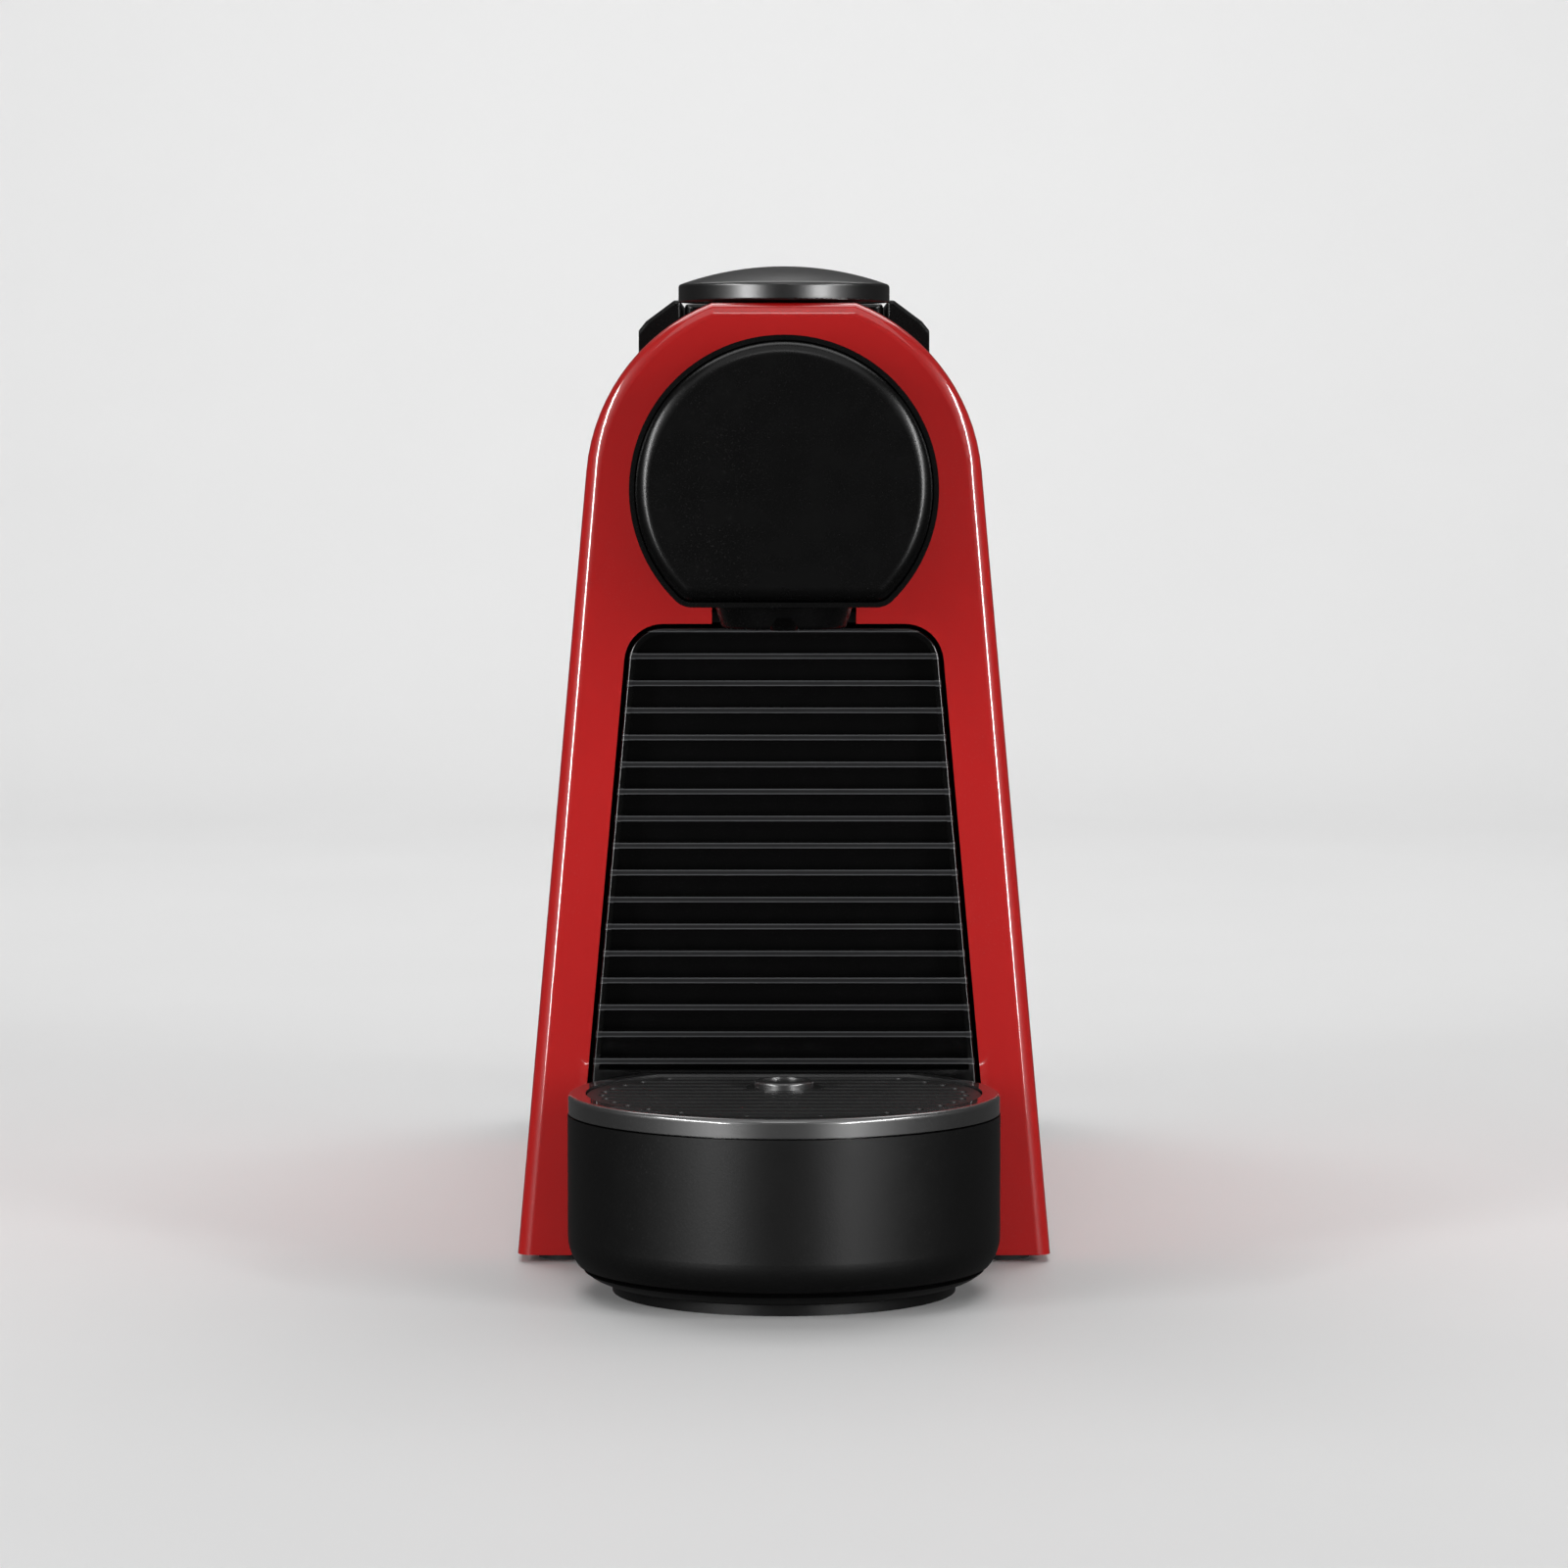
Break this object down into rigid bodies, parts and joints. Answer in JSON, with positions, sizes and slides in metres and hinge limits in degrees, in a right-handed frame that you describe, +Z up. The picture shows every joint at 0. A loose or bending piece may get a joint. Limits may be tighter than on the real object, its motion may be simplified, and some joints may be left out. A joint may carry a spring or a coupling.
{
  "type": "pod coffee machine",
  "caption": "Compact arched pod coffee machine with a round head over a drum drip tray, a ribbed used-pod bin, a top lever and a rear water tank.",
  "frame": {"origin": "centre of the footprint, on the surface the machine stands on", "axes": "+Z up, -Y towards the user (the head and the drip tray), +X to the right as the user sees it"},
  "size_m": [0.11, 0.325, 0.2056],
  "materials": {
    "red_gloss": "high gloss",
    "black_matte": "fine matte",
    "black_satin": "satin",
    "black_gloss": "high gloss",
    "grey_plastic": "moulded",
    "clear_smoke": "smoked clear",
    "rubber": "matte",
    "steel": "ground",
    "cast_alu": "as cast",
    "brass": "turned",
    "board": "lacquered board",
    "hose": "translucent hose"
  },
  "bodies": {
    "housing": {"body_shell": "red_gloss", "base_plate": "black_matte", "rubber_feet": "rubber", "base_screws": "steel", "cord_gland": "rubber", "rear_panel": "black_matte", "chassis": "black_matte", "head_sleeve": "black_satin", "head_cap": "black_satin", "outlet_hood": "black_satin", "outlet_nozzle": "black_satin", "coffee_duct": "grey_plastic", "pierce_plate": "steel", "brew_guide": "grey_plastic", "feed_tube": "steel", "pivot_pins": "steel", "top_housing": "black_satin", "button_board": "board", "rear_shelf": "grey_plastic", "heater_block": "cast_alu", "heater_rods": "steel", "thermostat": "steel", "pump_body": "brass", "pump_coil": "black_matte", "pump_mounts": "rubber", "pump_bracket": "grey_plastic", "flow_meter": "grey_plastic", "inlet_hose": "hose", "pump_hose": "hose", "pressure_hose": "hose", "main_board": "board", "dock_seal": "rubber"},
    "bin": {"pod_bin": "black_satin"},
    "tray": {"drip_tray": "black_matte", "tray_rim": "black_gloss"},
    "grid": {"drip_grid": "black_satin", "grid_eyelet": "black_gloss"},
    "lever": {"lever_arm": "black_satin", "lever_knob": "black_gloss", "drive_pin": "steel"},
    "cage": {"pod_cage": "grey_plastic", "cage_needles": "steel", "brew_seal": "rubber"},
    "short_key": {"short_button": "black_gloss"},
    "long_key": {"long_button": "black_gloss"},
    "tank": {"water_tank": "clear_smoke", "tank_valve": "grey_plastic"},
    "lid": {"tank_lid": "black_gloss"}
  },
  "joints": [
    {"name": "bin_slide", "type": "slide", "parent": "housing", "child": "bin", "axis": [0, -1, 0], "range_m": [0, 0.12]},
    {"name": "tray_slide", "type": "slide", "parent": "bin", "child": "tray", "axis": [0, -1, 0], "range_m": [0, 0.05]},
    {"name": "grid_lift", "type": "slide", "parent": "tray", "child": "grid", "axis": [0, 0, 1], "range_m": [0, 0.03]},
    {"name": "lever_hinge", "type": "hinge", "parent": "housing", "child": "lever", "pos_m": [0, 0.03, 0.172], "axis": [-1, 0, 0], "range_deg": [0, 80]},
    {"name": "cage_slide", "type": "slide", "parent": "housing", "child": "cage", "axis": [0, 1, 0], "range_m": [0, 0.024]},
    {"name": "short_key_press", "type": "slide", "parent": "housing", "child": "short_key", "axis": [0, 0, -1], "range_m": [0, 0.001], "stiffness_N_per_m": 600, "springref_m": -0.001},
    {"name": "long_key_press", "type": "slide", "parent": "housing", "child": "long_key", "axis": [0, 0, -1], "range_m": [0, 0.001], "stiffness_N_per_m": 600, "springref_m": -0.001},
    {"name": "tank_lift", "type": "slide", "parent": "housing", "child": "tank", "axis": [0, 0, 1], "range_m": [0, 0.06]},
    {"name": "lid_hinge", "type": "hinge", "parent": "tank", "child": "lid", "pos_m": [0, 0.1616, 0.1788], "axis": [-1, 0, 0], "range_deg": [0, 75]}
  ],
  "couplings": [
    {"joint": "cage_slide", "follows": "lever_hinge", "m_per_rad": 0.017188}
  ]
}
